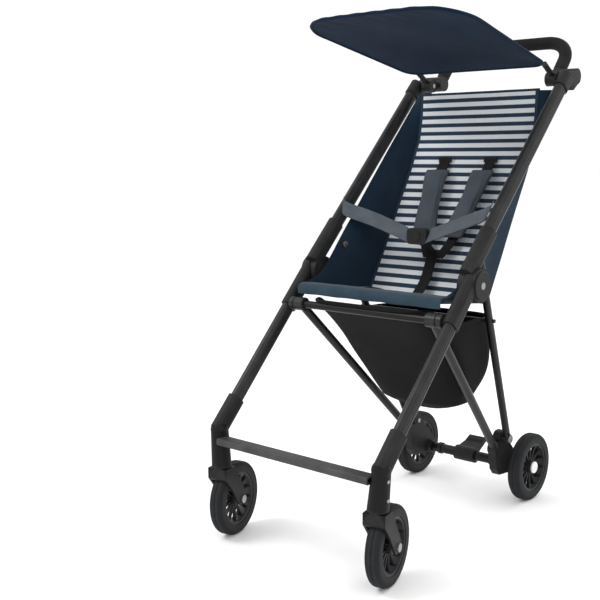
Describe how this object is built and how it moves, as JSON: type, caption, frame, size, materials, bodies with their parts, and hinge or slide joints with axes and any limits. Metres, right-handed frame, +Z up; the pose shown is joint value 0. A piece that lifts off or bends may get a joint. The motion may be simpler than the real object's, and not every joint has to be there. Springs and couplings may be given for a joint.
{
  "type": "baby stroller",
  "caption": "Folding baby stroller with a sling seat, flat sun canopy, harness, storage basket, swivel front casters and a U-shaped push handle.",
  "frame": {"origin": "on the floor in the middle plane, straight below the pivots about which the stroller folds", "axes": "+Z up, -Y the way it is pushed, +X to the child's left"},
  "size_m": [0.4498, 0.8078, 1.0339],
  "materials": {
    "tyre_rubber": "moulded rubber",
    "rim_plastic": "satin moulded",
    "hub_cap_plastic": "smooth",
    "plated_steel": "zinc plated",
    "striped_fabric": "woven polyester, navy and white stripes",
    "navy_fabric": "woven polyester",
    "canopy_fabric": "woven polyester",
    "black_fabric": "woven polyester",
    "grey_webbing": "woven webbing",
    "black_webbing": "woven webbing",
    "grip_foam": "dense foam",
    "black_metal": "satin powder coat",
    "black_plastic": "fine moulded texture"
  },
  "bodies": {
    "front_frame": {"front_leg_tube_left": "black_metal", "front_leg_tube_right": "black_metal", "lower_casting_left": "black_plastic", "lower_casting_right": "black_plastic", "footrest_bar": "black_metal", "casting_screws": "plated_steel", "hip_housing_lower_left": "black_plastic", "hip_housing_lower_right": "black_plastic", "hip_pins": "plated_steel", "hip_caps": "black_plastic", "front_crossbar": "black_metal", "storage_basket": "black_fabric"},
    "upper_frame": {"upper_tube_left": "black_metal", "upper_tube_right": "black_metal", "hip_housing_upper_left": "black_plastic", "hip_housing_upper_right": "black_plastic", "handle_joints_outer": "black_plastic", "handle_joints_inner": "black_plastic", "handle_tube": "black_metal", "handle_grip": "grip_foam", "canopy_pivot_pins": "plated_steel", "seat_base": "navy_fabric", "seat_back": "striped_fabric", "seat_side_left": "navy_fabric", "seat_side_right": "navy_fabric", "shoulder_straps": "black_webbing", "shoulder_pads": "grey_webbing", "belly_straps": "grey_webbing", "crotch_strap": "black_webbing", "harness_buckle": "black_plastic"},
    "rear_legs": {"rear_leg_tube_left": "black_metal", "rear_leg_tube_right": "black_metal", "rear_bracket_left": "black_plastic", "rear_bracket_right": "black_plastic", "link_pins": "plated_steel", "rear_axles": "plated_steel", "rear_axle_beam": "black_metal"},
    "side_links": {"side_link_left": "black_metal", "side_link_right": "black_metal", "basket_rod": "black_metal", "link_bolts": "plated_steel"},
    "canopy": {"canopy_clamps": "black_plastic", "canopy_wire": "black_metal", "canopy_panel": "canopy_fabric"},
    "brake_pedal": {"brake_pedal": "black_plastic"},
    "buckle_button": {"buckle_button": "black_plastic"},
    "caster_left": {"caster_fork_left": "black_plastic", "front_axle_bolt_left": "plated_steel"},
    "front_wheel_left": {"front_tyre_left": "tyre_rubber", "front_rim_left": "rim_plastic"},
    "rear_wheel_left": {"rear_tyre_left": "tyre_rubber", "rear_rim_left": "rim_plastic", "hub_cap_left": "hub_cap_plastic"},
    "caster_right": {"caster_fork_right": "black_plastic", "front_axle_bolt_right": "plated_steel"},
    "front_wheel_right": {"front_tyre_right": "tyre_rubber", "front_rim_right": "rim_plastic"},
    "rear_wheel_right": {"rear_tyre_right": "tyre_rubber", "rear_rim_right": "rim_plastic", "hub_cap_right": "hub_cap_plastic"}
  },
  "joints": [
    {"name": "fold", "type": "hinge", "parent": "front_frame", "child": "upper_frame", "pos_m": [0, 0, 0.52], "axis": [-1, 0, 0], "range_deg": [0, 150], "deforming": ["seat_base", "seat_back", "seat_side_left", "seat_side_right", "storage_basket", "belly_straps", "shoulder_straps", "crotch_strap", "shoulder_pads"]},
    {"name": "rear_fold", "type": "hinge", "parent": "front_frame", "child": "rear_legs", "pos_m": [0, -0.09, 0.46], "axis": [-1, 0, 0], "range_deg": [-1, 66]},
    {"name": "link_fold", "type": "hinge", "parent": "rear_legs", "child": "side_links", "pos_m": [0, 0.262, 0.15], "axis": [-1, 0, 0], "range_deg": [-20, 1]},
    {"name": "canopy_tilt", "type": "hinge", "parent": "upper_frame", "child": "canopy", "pos_m": [0, 0.363, 0.928], "axis": [1, 0, 0], "range_deg": [-12, 50]},
    {"name": "brake_pedal_tilt", "type": "hinge", "parent": "rear_legs", "child": "brake_pedal", "pos_m": [0, 0.309, 0.079], "axis": [1, 0, 0], "range_deg": [-25, 0]},
    {"name": "buckle_press", "type": "slide", "parent": "upper_frame", "child": "buckle_button", "axis": [0, 1, 0], "range_m": [0, 0.002], "stiffness_N_per_m": 300},
    {"name": "caster_swivel_left", "type": "hinge", "parent": "front_frame", "child": "caster_left", "pos_m": [0.193, -0.296, 0.153], "axis": [0, 0, 1], "continuous": true},
    {"name": "front_wheel_spin_left", "type": "hinge", "parent": "caster_left", "child": "front_wheel_left", "pos_m": [0.18288, -0.25215, 0.075], "axis": [0.9744, 0.225, 0], "continuous": true},
    {"name": "rear_wheel_spin_left", "type": "hinge", "parent": "rear_legs", "child": "rear_wheel_left", "pos_m": [0.15, 0.329, 0.075], "axis": [1, 0, 0], "continuous": true},
    {"name": "caster_swivel_right", "type": "hinge", "parent": "front_frame", "child": "caster_right", "pos_m": [-0.193, -0.296, 0.153], "axis": [0, 0, 1], "continuous": true},
    {"name": "front_wheel_spin_right", "type": "hinge", "parent": "caster_right", "child": "front_wheel_right", "pos_m": [-0.20312, -0.25215, 0.075], "axis": [0.9744, 0.225, 0], "continuous": true},
    {"name": "rear_wheel_spin_right", "type": "hinge", "parent": "rear_legs", "child": "rear_wheel_right", "pos_m": [-0.15, 0.329, 0.075], "axis": [1, 0, 0], "continuous": true}
  ],
  "couplings": [
    {"joint": "rear_fold", "follows": "fold", "ratio": 0.43333},
    {"joint": "link_fold", "follows": "fold", "ratio": -0.097638}
  ]
}
